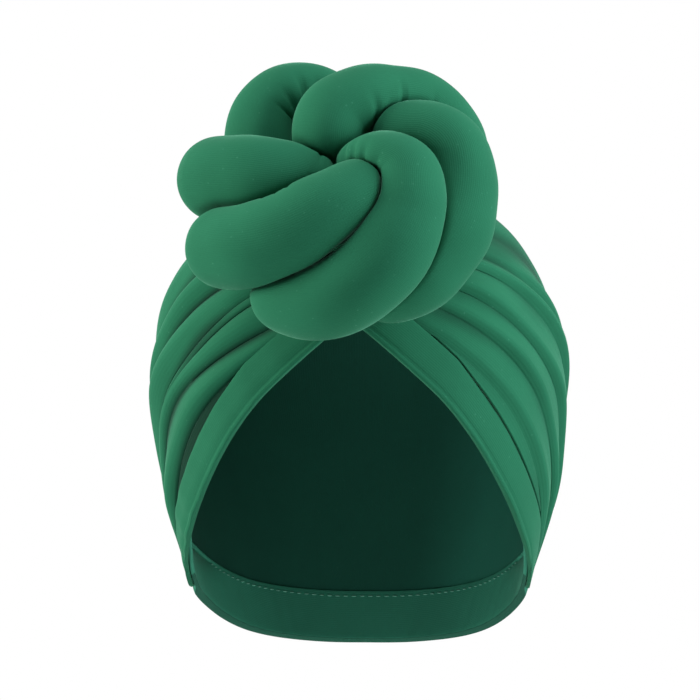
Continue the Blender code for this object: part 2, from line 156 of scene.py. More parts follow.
studio = dict(
    floorHeight=-1.1, floorRadius=6.4, floorSides=96, floorColour=(0.86, 0.86, 0.85, 1.0), floorRoughness=0.9,
    worldFront=0.05, worldBack=0.85, worldShown=1.0, white=(1.0, 1.0, 1.0, 1.0), aim=(0.0, 0.0, -0.1),
)
SoftBox = namedtuple("SoftBox", "name place size power colour")
softBoxes = [
    SoftBox("boxLeft", (-1.35, -0.18, 0.22), 0.7, 25.0, (1.0, 0.99, 0.90)),
    SoftBox("boxRight", (1.35, -0.30, 0.28), 0.7, 25.0, (0.93, 0.98, 1.0)),
    SoftBox("boxLow", (-0.30, -1.30, -0.60), 0.6, 2.8, (1.0, 1.0, 1.0)),
    SoftBox("boxTop", (0.1, -0.45, 1.4), 0.9, 16.0, (1.0, 1.0, 1.0)),
]


def addWorld():
    # the world is bright behind the cap and dim before it; the camera itself sees plain white
    world = bpy.data.worlds.new("studio")
    bpy.context.scene.world = world
    world.use_nodes = True
    sky = Shader(world.node_tree)
    direction = sky.add("ShaderNodeTexCoord", output=0)
    back = sky.parts(direction)[1]
    lightPath = sky.add("ShaderNodeLightPath", output=0)
    level = (back * 0.5 + 0.5).clamp() * (studio["worldBack"] - studio["worldFront"]) + studio["worldFront"]
    strength = level * (1 - lightPath) + lightPath * studio["worldShown"]
    surface = sky.add("ShaderNodeBackground", inputs={"Color": studio["white"], "Strength": strength})
    sky.add("ShaderNodeOutputWorld", inputs={"Surface": surface})


def addSoftBox(box):
    light = bpy.data.lights.new(box.name, "AREA")
    light.shape = "DISK"
    light.size = box.size
    light.energy = box.power
    light.color = box.colour
    lamp = bpy.data.objects.new(box.name, light)
    lamp.location = box.place
    towards = np.array(studio["aim"]) - np.array(box.place)
    lamp.rotation_euler = (
        math.atan2(math.hypot(towards[0], towards[1]), -towards[2]), 0.0,
        math.atan2(towards[1], towards[0]) - math.pi / 2)
    lamp.visible_camera = False
    bpy.context.scene.collection.objects.link(lamp)


def addFloor():
    angle = np.linspace(0, 2 * math.pi, studio["floorSides"] + 1)[:-1]
    rim = np.stack([np.cos(angle), np.sin(angle), 0 * angle], axis=1) * studio["floorRadius"]
    mesh = bpy.data.meshes.new("floor")
    mesh.from_pydata((rim + [0, 0, studio["floorHeight"]]).tolist(), [], [list(range(len(angle)))])
    floor = bpy.data.objects.new("floor", mesh)
    bpy.context.scene.collection.objects.link(floor)
    mesh.materials.append(plainMaterial("floor", studio["floorColour"], studio["floorRoughness"]))


def plainMaterial(name, colour, roughness):
    material = bpy.data.materials.new(name)
    material.use_nodes = True
    skin = material.node_tree.nodes["Principled BSDF"]
    skin.inputs["Base Color"].default_value = colour
    skin.inputs["Roughness"].default_value = roughness
    return material


addWorld()
for box in softBoxes:
    addSoftBox(box)
addFloor()
bpy.context.scene.view_settings.view_transform = "Standard"
print("studio ready")


# Jersey: wales and courses of the knit on the cloth's own map, whose unit is a metre

jersey = dict(
    wale=0.0009, course=0.0007, stitchLean=4.0, stitchShare=0.45, knitDepth=0.00004,
    fuzzScale=1600.0, fuzzDetail=3.0, fuzzRoughness=0.65, fuzzDepth=0.00006,
    driftScale=28.0, driftDetail=4.0, bumpStrength=0.9,
    driftTone=0.9, knitTone=0.16, fuzzTone=0.75, darkTone=0.455,
    lintScale=210.0, lintFrom=0.10, lintFull=0.03, lintMost=0.45, lint=(0.08, 0.30, 0.20, 1.0),
    green=(0.0162, 0.147, 0.0765, 1.0), deepGreen=(0.010, 0.108, 0.056, 1.0),
    roughness=0.9, sheen=0.19, sheenRoughness=0.28, sheenTint=(0.40, 0.95, 0.70, 1.0), specular=0.12,
    # painted shade: how far the shade attribute darkens the colour, and the dark green it goes to
    paintedShadeStrength=0.92, paintedShadeGreen=(0.001, 0.017, 0.010, 1.0),
)
# painted light: greens lighter than the wrap's, the lining's lit colour, seen at +X and darkened elsewhere by
# painted shade
liningLitJersey = dict(
    jersey, green=(0.028, 0.190, 0.130, 1.0), deepGreen=(0.020, 0.145, 0.100, 1.0), sheen=0.05,
)
# painted light: greens about twice the wrap's, the band's lit colour, darkened again by painted shade round
# the nape, along the rim and on the outer side
bandLitJersey = dict(jersey, green=(0.056, 0.340, 0.222, 1.0), deepGreen=(0.040, 0.265, 0.170, 1.0))
thread = dict(green=(0.110, 0.360, 0.265, 1.0), roughness=0.75)


def knitMaterial(name, finish):
    material = bpy.data.materials.new(name)
    material.use_nodes = True
    cloth = Shader(material.node_tree)
    uv = cloth.parts(cloth.add("ShaderNodeUVMap", {"uv_map": "cloth"}))
    place = cloth.add("ShaderNodeTexCoord", output=3)
    # a wale is a raised column; its stitches lean to both sides like a row of V
    waleTurn = uv[0] * (2 * math.pi / finish["wale"])
    column = waleTurn.math("SINE") * 0.5 + 0.5
    lean = (uv[0] * (1 / finish["wale"])).math("PINGPONG", 0.5) * finish["stitchLean"]
    stitch = (uv[1] * (2 * math.pi / finish["course"]) + lean).math("SINE") * 0.5 + 0.5
    knit = column * (stitch * finish["stitchShare"] + (1 - finish["stitchShare"]))
    fuzz = cloth.add("ShaderNodeTexNoise", inputs={
        "Vector": place, "Scale": finish["fuzzScale"],
        "Detail": finish["fuzzDetail"], "Roughness": finish["fuzzRoughness"]})
    drift = cloth.add("ShaderNodeTexNoise", inputs={
        "Vector": place, "Scale": finish["driftScale"], "Detail": finish["driftDetail"]})
    specks = cloth.add("ShaderNodeTexVoronoi", inputs={
        "Vector": place, "Scale": finish["lintScale"], "Randomness": 1.0})
    lint = cloth.add("ShaderNodeMapRange", inputs={
        "Value": specks, "From Min": finish["lintFrom"], "From Max": finish["lintFull"],
        "To Min": 0.0, "To Max": finish["lintMost"]})
    tone = drift * finish["driftTone"] + knit * finish["knitTone"] + fuzz * finish["fuzzTone"]
    tone = (tone - finish["darkTone"]).clamp()
    colour = cloth.mixColour(tone, finish["deepGreen"], finish["green"])
    colour = cloth.mixColour(lint * drift, colour, finish["lint"])
    # painted shade: the shade attribute draws the colour towards a dark green where less light reaches, as at
    # the bottom of a fold
    shade = cloth.add("ShaderNodeAttribute", {"attribute_name": "shade"}, output=2)
    colour = cloth.mixColour(shade * finish["paintedShadeStrength"], colour, finish["paintedShadeGreen"])
    height = knit * finish["knitDepth"] + fuzz * finish["fuzzDepth"]
    bump = cloth.add("ShaderNodeBump", inputs={
        "Height": height, "Distance": 1.0, "Strength": finish["bumpStrength"]})
    skin = cloth.add("ShaderNodeBsdfPrincipled", inputs={
        "Base Color": colour, "Roughness": finish["roughness"], "Normal": bump,
        "Sheen Weight": finish["sheen"], "Sheen Roughness": finish["sheenRoughness"],
        "Sheen Tint": finish["sheenTint"], "Specular IOR Level": finish["specular"]})
    cloth.add("ShaderNodeOutputMaterial", inputs={"Surface": skin})
    return material


wrapJersey = knitMaterial("wrapJersey", jersey)
bandLitKnit = knitMaterial("bandLitJersey", bandLitJersey)
liningLitKnit = knitMaterial("liningLitJersey", liningLitJersey)
threadMaterial = plainMaterial("thread", thread["green"], thread["roughness"])
print("cloth finishes ready")


# Meshes from grids of points; points nearer to each other than this many metres are one

samePlace = 2e-6


def gridCorners(rows, columns):
    # the four points of every cell of a grid
    start = (np.arange(rows - 1)[:, None] * columns + np.arange(columns - 1)[None, :]).ravel()
    return np.stack([start, start + 1, start + columns + 1, start + columns], axis=-1)


def joinedPiece(name, mesh, material, closed):
    # doubled seams and poles are joined, and a closed piece has its faces outwards
    shape = bmesh.new()
    shape.from_mesh(mesh)
    bmesh.ops.remove_doubles(shape, verts=shape.verts, dist=samePlace)
    if closed:
        bmesh.ops.recalc_face_normals(shape, faces=shape.faces)
    shape.to_mesh(mesh)
    shape.free()
    mesh.shade_smooth()
    mesh.materials.append(material)
    piece = bpy.data.objects.new(name, mesh)
    bpy.context.scene.collection.objects.link(piece)
    return piece


def gridMesh(name, points, uv, material, closed=False, shade=None):
    # quads between neighbouring points of a grid, with the cloth's own map and its painted shade
    corners = gridCorners(*points.shape[:2])
    mesh = bpy.data.meshes.new(name)
    mesh.from_pydata(points.reshape(-1, 3).tolist(), [], corners.tolist())
    layer = mesh.uv_layers.new(name="cloth")
    layer.data.foreach_set("uv", uv.reshape(-1, 2)[corners.ravel()].astype(np.float32).ravel())
    if shade is not None:
        values = mesh.attributes.new("shade", "FLOAT", "POINT").data
        values.foreach_set("value", shade.astype(np.float32).ravel())
    return joinedPiece(name, mesh, material, closed)


def joinGrids(name, grids, material):
    # one mesh from many small closed grids of the same size
    rows, columns = grids[0].shape[:2]
    corners = gridCorners(rows, columns)
    every = (corners[None] + np.arange(len(grids))[:, None, None] * rows * columns).reshape(-1, 4)
    mesh = bpy.data.meshes.new(name)
    mesh.from_pydata(np.concatenate([grid.reshape(-1, 3) for grid in grids]).tolist(), [], every.tolist())
    return joinedPiece(name, mesh, material, closed=True)


def gridMap(points):
    # metres run along both ways of a grid, for the knit to follow
    along = np.linalg.norm(np.diff(points, axis=0, prepend=points[:1]), axis=-1).cumsum(axis=0)
    across = np.linalg.norm(np.diff(points, axis=1, prepend=points[:, :1]), axis=-1).cumsum(axis=1)
    return np.stack([along.mean(axis=1, keepdims=True) + 0 * along, across], axis=-1)


def ripple(u, v, pitch, seed, terms=6):
    # soft uneven waves between about -1 and 1: a few sines of unlike slants and lengths
    random = np.random.default_rng(seed)
    turn, size = random.uniform(0, math.pi, terms), random.uniform(0.7, 1.5, terms)
    phase = random.uniform(0, 2 * math.pi, terms)
    total = 0.0
    for k in range(terms):
        run = (u * math.cos(turn[k]) + v * math.sin(turn[k])) * size[k]
        total = total + np.sin(2 * math.pi * run / pitch + phase[k])
    return total / terms ** 0.5 / 1.3


# Form inside the cap and the lines of the cloth on it

form = dict(
    halfWidth=0.082, frontDepth=0.096, backDepth=0.102, crownHeight=0.093, lowerReach=0.225,
    sideDrop=0.170, napeDrop=0.210,
)
layers = dict(
    lining=0.0012, wrap=0.0015, clearance=0.0004, hemClearance=0.0014, bandGap=0.0002, edgeRow=0.0003,
)
ClothLine = namedtuple("ClothLine", "share seamRise midTurn midRise rimTurn rimDrop")
clothLines = [
    ClothLine(0.00, 16.4, 39.0, -12.5, 80.0, 0.00),
    ClothLine(0.25, 28.0, 68.0, 12.0, 106.0, 0.50),
    ClothLine(0.50, 40.0, 98.0, 33.0, 132.0, 0.83),
    ClothLine(0.75, 48.0, 130.0, 46.0, 156.0, 0.965),
    ClothLine(1.00, 53.0, 180.0, 44.0, 180.0, 1.00),
]


def formPoint(direction, offset):
    # half width, depth and height times the direction, drawn down below the widest level
    x, y, z = direction[..., 0], direction[..., 1], direction[..., 2]
    depth = (form["frontDepth"] + form["backDepth"]) / 2
    longerBack = (form["backDepth"] - form["frontDepth"]) / 2
    below = np.where(z < 0, (form["lowerReach"] - form["crownHeight"]) * z * z, 0.0)
    return np.stack([
        (form["halfWidth"] + offset) * x,
        (depth + offset) * y + longerBack * y * y,
        (form["crownHeight"] + offset) * z - below - form["crownHeight"],
    ], axis=-1)


def directionAt(turn, rise):
    # unit direction at degrees round the form from its front and degrees up
    turn, rise = np.radians(turn), np.radians(rise)
    return np.stack([np.cos(rise) * np.sin(turn), -np.cos(rise) * np.cos(turn), np.sin(rise)], axis=-1)


def riseAtDrop(drop):
    # degrees at which the form lies a drop under the crown: the root of its height formula
    extra = form["lowerReach"] - form["crownHeight"]
    root = math.sqrt(form["crownHeight"] ** 2 + 4 * extra * (drop - form["crownHeight"]))
    return -math.degrees(math.asin((root - form["crownHeight"]) / (2 * extra)))


def lineDirections():
    # seam, middle and rim directions of each line, round to the other side as its mirror
    fall = form["napeDrop"] - form["sideDrop"]
    right = np.array([[
        directionAt(0.0, line.seamRise),
        directionAt(line.midTurn, line.midRise),
        directionAt(line.rimTurn, riseAtDrop(form["sideDrop"] + fall * line.rimDrop)),
    ] for line in clothLines])
    left = right[-2::-1] * np.array([-1, 1, 1])
    shares = np.array([line.share for line in clothLines])
    return np.concatenate([shares, 2 - shares[-2::-1]]), np.concatenate([right, left])


lineShares, lineEnds = lineDirections()
lineSlopes = np.gradient(lineEnds, lineShares, axis=0)


def hermite(x, step, first, second, firstSlope, secondSlope):
    # cubic through two values with given slopes
    ends = (2 * x ** 3 - 3 * x ** 2 + 1) * first + (3 * x ** 2 - 2 * x ** 3) * second
    return ends + step * ((x ** 3 - 2 * x ** 2 + x) * firstSlope + (x ** 3 - x ** 2) * secondSlope)


def clothDirection(across, down):
    # a cubic between the lines across, and a parabola from seam to rim down each line
    across, down = np.broadcast_arrays(np.asarray(across, float), np.asarray(down, float))
    index = np.clip(np.searchsorted(lineShares, across, side="right") - 1, 0, len(lineShares) - 2)
    step = (lineShares[index + 1] - lineShares[index])[..., None, None]
    x = (across - lineShares[index])[..., None, None] / step
    lines = hermite(x, step, lineEnds[index], lineEnds[index + 1], lineSlopes[index], lineSlopes[index + 1])
    seam, mid, rim = np.moveaxis(unit(lines), -2, 0)
    v = down[..., None]
    return unit((1 - v) * (1 - 2 * v) * seam + 4 * v * (1 - v) * mid + v * (2 * v - 1) * rim)


def clothPoint(across, down, offset):
    # point of the cloth, an offset in metres outside the form
    return formPoint(clothDirection(across, down), offset)


def throughThree(first, middle, last, down):
    # parabola through the values at the seam, half way down and at the rim
    return (1 - down) * (1 - 2 * down) * first + 4 * down * (1 - down) * middle + down * (2 * down - 1) * last


def acrossRate(down):
    # metres along the cloth for each unit of across, near the opening edge
    step = 0.02
    return np.linalg.norm(clothPoint(step, down, 0.0) - clothPoint(0.0, down, 0.0), axis=-1) / step


def downRate(across):
    # metres square to the rim for each unit of down, near the rim
    step, leastSlant = 0.02, 0.45
    alongRim = unit(clothPoint(across + step, 1.0, 0.0) - clothPoint(across - step, 1.0, 0.0))
    alongLine = clothPoint(across, 1.0, 0.0) - clothPoint(across, 1 - step, 0.0)
    length = np.linalg.norm(alongLine, axis=-1)
    square = np.linalg.norm(np.cross(alongRim, alongLine), axis=-1)
    return np.hypot(square, leastSlant * length) / step


# Sizes of the sewn pieces, lengths in metres. Shares across count from the opening edge, 2 for
# the whole way round, and shares down from the gather, 1 at the rim. In band and lining, inset
# and the names in From, Over, End and Fade are shares across. In hems and wrap, start,
# evenOver, rimEase, seamBlend and gather are shares down.

hems = dict(
    leftWidth=0.014, rightWidth=0.015, thickness=0.0028, rimThickness=0.0010, evenOver=0.15, rimEase=0.32,
    start=0.03, rows=170, samples=400, sides=48, square=5.5,
    wave=0.00025, wavePitch=0.024, waveAlong=0.2, waveAcross=0.3, waveSeed=5,
    grooveAt=0.0024, grooveWidth=0.0005, groove=0.0007,
)
band = dict(
    height=0.0243, innerProud=0.0007, inset=0.035, stations=420, sides=64, square=14.0,
    binding=0.0035, bindingAt=0.0198, bindingTurn=0.0015, bindingFrom=0.095, wrapFrom=0.085, bindingFade=0.04,
    cornerEnd=0.42, cornerFade=0.2, cornerGap=0.0014, gapFrom=0.08, gapFade=0.06,
    pipeAt=0.0022, pipeWidth=0.0005, pipeGroove=0.00104,
    gather=0.00012, gatherPitch=0.009, gatherRun=0.15, gatherDepth=0.006, gatherSeed=21,
    # painted shade of the band: round the nape, on the lower face along the rim and on the outer side
    napeShade=0.42, napeFrom=0.25, napeOver=0.5, edgeShade=0.80, edgeHeight=0.0006, edgeTurn=0.0005,
    outerShade=0.56, outerAt=0.4, outerTurn=0.2,
    stitchPitch=0.0038, stitchLength=0.0023, stitchWidth=0.0007, stitchAt=0.0028, stitchProud=0.0001,
    stitchFrom=0.30, stitchSamples=1200, stitchStep=0.002, stitchTurns=7, stitchRises=6,
)
lining = dict(
    columns=180, rows=90, soft=0.0002, softPitch=0.022, softRun=0.4, softSeed=11, inset=0.02,
    # painted shade of the lining: at most shade, rising from shadeFrom over shadeOver
    shade=0.62, shadeFrom=0.52, shadeOver=0.35,
)
wrap = dict(
    columns=230, rows=120, crowding=0.72, edgeColumn=0.0008, seamBlend=0.12, gather=0.24, rimEase=0.30,
    rimFlat=0.04, fine=0.00007, fineRun=0.06, finePitch=0.0052, fineSeed=3,
    uneven=0.26, unevenPitch=0.055, unevenRun=1.6, unevenSeed=7,
    wander=0.0034, wanderPitch=0.075, wanderSeed=8, shadeHeight=0.0030, hemGap=0.0002,
)

# Folds of the wrap, from the hem to the back. The three shares are counted from the opening
# edge at the gather, half way down and at the rim, the three heights are millimetres there,
# and bend is 2 for a round top or bottom, 1 for a crease and less for a tight one.
Fold = namedtuple("Fold", "seam mid rim top middle bottom bend")
rightFolds = [
    Fold(0.000, 0.000, 0.000, 2.3, 2.35, 2.3, 1.2),
    Fold(0.116, 0.073, 0.095, 2.3, 2.1, 1.8, 1.2),
    Fold(0.131, 0.087, 0.111, 3.9, 4.4, 4.8, 0.8),
    Fold(0.172, 0.136, 0.146, 1.3, 1.8, 2.6, 1.2),
    Fold(0.190, 0.149, 0.156, 4.0, 4.8, 5.0, 0.9),
    Fold(0.232, 0.198, 0.218, 1.3, 1.9, 2.6, 1.2),
    Fold(0.249, 0.212, 0.230, 4.0, 5.0, 5.0, 0.9),
    Fold(0.284, 0.281, 0.313, 1.2, 1.9, 2.4, 1.2),
    Fold(0.300, 0.296, 0.326, 3.2, 5.0, 5.0, 0.9),
    Fold(0.330, 0.319, 0.357, 1.0, 2.2, 2.4, 1.3),
    Fold(0.352, 0.334, 0.371, 2.0, 3.9, 4.2, 1.1),
    Fold(0.410, 0.400, 0.440, 0.3, 1.2, 1.8, 1.4),
    Fold(0.470, 0.460, 0.510, 0.4, 2.6, 3.0, 1.8),
    Fold(0.540, 0.550, 0.600, 0.2, 0.9, 1.2, 1.5),
    Fold(0.620, 0.650, 0.690, 0.3, 2.4, 2.6, 1.8),
    Fold(0.700, 0.745, 0.780, 0.3, 0.8, 1.0, 1.6),
    Fold(0.800, 0.850, 0.870, 0.7, 2.0, 2.0, 2.0),
    Fold(1.000, 1.000, 1.000, 0.3, 0.8, 0.8, 2.0),
]
leftFolds = [
    Fold(0.000, 0.000, 0.000, 0.1, 0.1, 0.1, 1.0),
    Fold(0.075, 0.068, 0.088, 0.0, 0.0, 0.0, 0.9),
    Fold(0.087, 0.083, 0.110, 2.4, 3.7, 3.8, 1.5),
    Fold(0.101, 0.121, 0.178, 0.0, 0.0, 1.0, 1.1),
    Fold(0.165, 0.138, 0.205, 4.6, 3.8, 3.0, 1.6),
    Fold(0.228, 0.145, 0.222, 0.3, 0.4, 1.6, 1.0),
    Fold(0.238, 0.152, 0.232, 2.4, 2.0, 2.4, 1.4),
    Fold(0.248, 0.159, 0.242, 0.3, 0.4, 1.6, 1.0),
    Fold(0.266, 0.196, 0.275, 5.0, 5.0, 3.6, 1.5),
    Fold(0.286, 0.240, 0.310, 0.0, 0.0, 1.2, 1.3),
    Fold(0.335, 0.268, 0.345, 4.6, 5.0, 3.6, 1.5),
    Fold(0.388, 0.300, 0.372, 0.5, 0.4, 1.4, 0.9),
    Fold(0.440, 0.350, 0.420, 2.6, 4.2, 3.4, 1.8),
    Fold(0.495, 0.425, 0.490, 0.4, 0.9, 1.4, 1.3),
    Fold(0.560, 0.510, 0.565, 1.6, 3.6, 3.0, 1.9),
    Fold(0.630, 0.600, 0.645, 0.3, 0.8, 1.2, 1.5),
    Fold(0.710, 0.700, 0.740, 1.0, 3.0, 2.5, 2.0),
    Fold(0.790, 0.800, 0.830, 0.3, 0.7, 1.0, 1.6),
    Fold(0.880, 0.890, 0.900, 0.7, 2.0, 2.0, 2.0),
    Fold(1.000, 1.000, 1.000, 0.3, 0.8, 0.8, 2.0),
]


def hemShare(down, width):
    # share across that a hem covers; both hems are alike where they meet at the seam
    meanWidth = (hems["leftWidth"] + hems["rightWidth"]) / 2
    blend = smoothStep(down / hems["evenOver"])
    return (meanWidth + (width - meanWidth) * blend) / acrossRate(down)


def nearerEdge(across):
    # share across from the nearer side of the opening
    return np.minimum(across, 2 - across)


def inCorner(across):
    # 1 in both corners of the casing, beside the hems, and 0 round the nape
    return smoothStep((band["cornerEnd"] - nearerEdge(across)) / band["cornerFade"])


def bandTop(across):
    # share down at which the casing begins: one, less its height over the length of a unit of down
    return 1 - band["height"] / downRate(across)


def liningEnd(across):
    # share down at which the lining ends, just above the nape band and a little higher in its corners
    corner = smoothStep((nearerEdge(across) - band["gapFrom"]) / band["gapFade"]) * inCorner(across)
    return bandTop(across) - (layers["bandGap"] + band["cornerGap"] * corner) / downRate(across)


def bindingTop(across):
    # share down at which the wrap meets the binding of the rim; beside the hems it reaches the rim
    inside = smoothStep((nearerEdge(across) - band["wrapFrom"]) / band["bindingFade"])
    return 1 - band["binding"] * inside / downRate(across)


def evenRows(acrossAt, columns, rows, endAt=None):
    # shares down in even steps of length along each line, to the rim or to a given end
    rounds, samples = 8, 60
    end = np.ones((columns, 1))
    for _ in range(rounds if endAt else 0):
        end = endAt(acrossAt(end))
    down = np.linspace(0, 1, samples)[None, :] * end
    steps = np.linalg.norm(np.diff(clothPoint(acrossAt(down), down, 0.0), axis=1), axis=-1)
    run = np.concatenate([np.zeros((columns, 1)), steps.cumsum(axis=1)], axis=1)
    even = np.linspace(0, 1, rows)
    down = np.stack([np.interp(even * run[k, -1], run[k], down[k]) for k in range(columns)])
    # one row stands close above the last, so that the lower edge stays crisp
    down[:, -2] = down[:, -1] - layers["edgeRow"] / downRate(acrossAt(down[:, -1:])[:, 0])
    return down


def foldedHalf(folds, width):
    # across, down and height of the cloth: straight steps between the fold lines, and heights
    # eased from line to line as x^a / (x^a + (1-x)^b), with a and b the bends of the two lines
    table = np.array(folds)
    gap = wrap["hemGap"] / acrossRate(0.5)
    weight = np.diff(table[:, 1]) ** wrap["crowding"]
    keys = np.concatenate([[0.0], weight.cumsum()]) / weight.sum()
    place = np.linspace(0, 1, wrap["columns"])
    # the second column stands close to the first, so that the edge beside the hem stays crisp
    place[1] = wrap["edgeColumn"]
    index = np.clip(np.searchsorted(keys, place, side="right") - 1, 0, len(keys) - 2)
    local = ((place - keys[index]) / (keys[index + 1] - keys[index]))[:, None]
    near, far = table[index][:, :, None], table[index + 1][:, :, None]
    first = (index == 0)[:, None]

    def acrossAt(down):
        hem = hemShare(down, width) + gap
        start = np.where(first, hem, throughThree(near[:, 0], near[:, 1], near[:, 2], down))
        end = throughThree(far[:, 0], far[:, 1], far[:, 2], down)
        even = hem + (1 - hem) * place[:, None]
        blend = smoothStep(down / wrap["seamBlend"])
        return even + (start + (end - start) * local - even) * blend

    down = evenRows(acrossAt, len(place), wrap["rows"], bindingTop)
    rise, fall = local ** near[:, 6], (1 - local) ** far[:, 6]
    ease = rise / (rise + fall)
    low = throughThree(near[:, 3], near[:, 4], near[:, 5], down)
    high = throughThree(far[:, 3], far[:, 4], far[:, 5], down)
    rows = np.linspace(0, 1, wrap["rows"])[None, :]
    aboveRim = wrap["rimFlat"] + (1 - wrap["rimFlat"]) * smoothStep((1 - rows) / wrap["rimEase"])
    envelope = smoothStep(down / wrap["gather"]) * aboveRim * (rows > 0)
    return acrossAt(down), down, millimetre * (low + (high - low) * ease) * envelope, envelope


def makeWrap():
    right = foldedHalf(rightFolds, hems["rightWidth"])
    left = foldedHalf(leftFolds, hems["leftWidth"])
    across = np.concatenate([right[0], 2 - left[0][-2::-1]])
    down, height, envelope = (np.concatenate([right[k], left[k][-2::-1]]) for k in (1, 2, 3))
    base = layers["lining"] + layers["clearance"]
    uv = gridMap(clothPoint(across, down, base))
    # folds are uneven along their length and wander to both sides, as pulled cloth does
    uneven = ripple(uv[..., 0] * wrap["unevenRun"], uv[..., 1], wrap["unevenPitch"], wrap["unevenSeed"])
    height = height * (1 + wrap["uneven"] * uneven)
    # four times the product of the shares from both edges, less a half, held between 0 and 1, so
    # that the cloth doesn't wander beside a hem
    awayFromHems = np.clip(across * (2 - across) * 4 - 0.5, 0, 1)
    wander = ripple(uv[..., 0], uv[..., 1], wrap["wanderPitch"], wrap["wanderSeed"]) * envelope * awayFromHems
    across = across + wrap["wander"] * wander
    # fine wrinkles run down the cloth, many times longer than they are wide
    fine = ripple(uv[..., 0], uv[..., 1] * wrap["fineRun"], wrap["finePitch"], wrap["fineSeed"])
    height = np.maximum(height + wrap["fine"] * (1 + fine) * envelope, 0.0)
    # painted shade: the colour is darkened where the cloth lies low, at the bottom of the folds
    shade = envelope * (1 - smoothStep(height / wrap["shadeHeight"]))
    points = clothPoint(across, down, base + height)
    piece = gridMesh("outer_wrap_cloth", points, uv, wrapJersey, shade=shade)
    addWall(piece, layers["wrap"])
    return finished(piece, "outer_wrap")


def addWall(piece, thickness):
    wall = piece.modifiers.new("wall", "SOLIDIFY")
    wall.thickness = thickness
    wall.offset = 1.0


def finished(piece, node):
    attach(piece, "root")
    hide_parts(node)
    return piece


wrapPiece = makeWrap()
print("wrap folded")


# Lining, smooth on the form, as far down as the nape band

def makeLining():
    across = np.linspace(lining["inset"], 2 - lining["inset"], lining["columns"])[:, None]
    down = evenRows(lambda v: across + 0 * v, lining["columns"], lining["rows"], liningEnd)
    across = across + 0 * down
    uv = gridMap(clothPoint(across, down, 0.0))
    waves = ripple(uv[..., 0], uv[..., 1] * lining["softRun"], lining["softPitch"], lining["softSeed"])
    soft = lining["soft"] * (1 + waves) / 2
    # darker over the nape and the whole side at -X, as in the photograph
    # painted shade: the lit green is darkened towards the nape and over the side at -X
    shade = lining["shade"] * smoothStep((across - lining["shadeFrom"]) / lining["shadeOver"])
    piece = gridMesh("lining_cloth", clothPoint(across, down, -soft), uv, liningLitKnit, shade=shade)
    addWall(piece, layers["lining"])
    return finished(piece, "lining")


liningPiece = makeLining()
print("lining laid")


# Turned hems along the face opening and the nape casing inside the rim: flat tubes whose
# sections are |x|^n + |y|^n = 1, with the stitched line of a turned edge as a groove

def flatSection(sides, square):
    # across and through the tube, each from 0 to 1, and the way round it
    angle = np.linspace(0, 2 * math.pi, sides + 1)
    power = 2 / square
    across = np.sign(np.cos(angle)) * abs(np.cos(angle)) ** power
    through = np.sign(np.sin(angle)) * abs(np.sin(angle)) ** power
    return (across + 1) / 2, (through + 1) / 2


def dent(run, place, width):
    # 1 at the place, falling off to both sides as e to the minus square of the distance in widths
    return np.exp(-((run - place) / width) ** 2)


def closeTube(points):
    # flat ends: one more section at each end, drawn together on its middle line
    middle = (points + points[:, ::-1]) / 2
    return np.concatenate([middle[:1], points, middle[-1:]])


def makeHem(node, width, side):
    share, through = (value[None, :] for value in flatSection(hems["sides"], hems["square"]))
    rows = np.linspace(hems["start"], 1, hems["rows"])[:, None]
    full = evenRows(lambda v: hemShare(v, width), 1, hems["samples"])[0]
    down = np.interp(rows, np.linspace(0, 1, hems["samples"]), full)
    across = hemShare(down, width) * share
    run = share * width
    ease = smoothStep((1 - rows) / hems["rimEase"])
    thick = hems["rimThickness"] + (hems["thickness"] - hems["rimThickness"]) * ease
    groove = hems["groove"] * dent(run, hems["grooveAt"], hems["grooveWidth"]) * through
    waves = ripple(
        rows * hems["waveAlong"], run * hems["waveAcross"], hems["wavePitch"], hems["waveSeed"] + side)
    wave = hems["wave"] * waves * through
    under = layers["lining"] + layers["clearance"]
    offset = under + (thick + layers["hemClearance"] - layers["clearance"]) * through - groove + wave
    points = clothPoint(across if side > 0 else 2 - across, down, np.maximum(offset, under))
    points = closeTube(points)
    uv = gridMap(points)[..., ::-1]
    return finished(gridMesh(node + "_cloth", points, uv, wrapJersey, closed=True), node)


def makeBand():
    low, through = (value[None, :] for value in flatSection(band["sides"], band["square"]))
    end = band["inset"]
    across = np.linspace(end, 2 - end, band["stations"])[:, None]
    top = bandTop(across)
    down = top + (1 - top) * low
    depth = band["height"] * low
    edge = nearerEdge(across)
    corner = inCorner(across)
    groove = band["pipeGroove"] * corner * dent(depth, band["pipeAt"], band["pipeWidth"] * (1 + corner))
    along = np.linalg.norm(np.diff(clothPoint(across, 1.0, 0.0)[:, 0], axis=0, prepend=0), axis=-1)
    along[0] = 0.0
    along = along.cumsum()[:, None]
    gathers = ripple(along, depth * band["gatherRun"], band["gatherPitch"], band["gatherSeed"])
    gathers = band["gather"] * gathers * smoothStep(depth / band["gatherDepth"])
    # the lower edge turns outwards over the end of the wrap
    turned = smoothStep((edge - band["bindingFrom"]) / band["bindingFade"])
    turned = turned * smoothStep((depth - band["bindingAt"]) / band["bindingTurn"])
    outer = layers["lining"] + (layers["clearance"] + layers["wrap"]) * turned
    offset = -band["innerProud"] + (outer + band["innerProud"]) * through + (groove + gathers) * (1 - through)
    points = closeTube(clothPoint(across, down, np.minimum(offset, outer)))
    uv = gridMap(points)[..., ::-1]
    # painted shade: the band's lit green is darkened round the nape and on the lower face along the rim, and
    # on the outer side to about the wrap's green
    nape = band["napeShade"] * smoothStep((edge - band["napeFrom"]) / band["napeOver"])
    rim = band["edgeShade"] * smoothStep((depth - band["height"] + band["edgeHeight"]) / band["edgeTurn"])
    outside = band["outerShade"] * smoothStep((through - band["outerAt"]) / band["outerTurn"])
    shade = closeTube(np.maximum(np.maximum(nape, rim), outside))
    piece = gridMesh("nape_band_casing", points, uv, bandLitKnit, closed=True, shade=shade)
    return finished(piece, "nape_band")


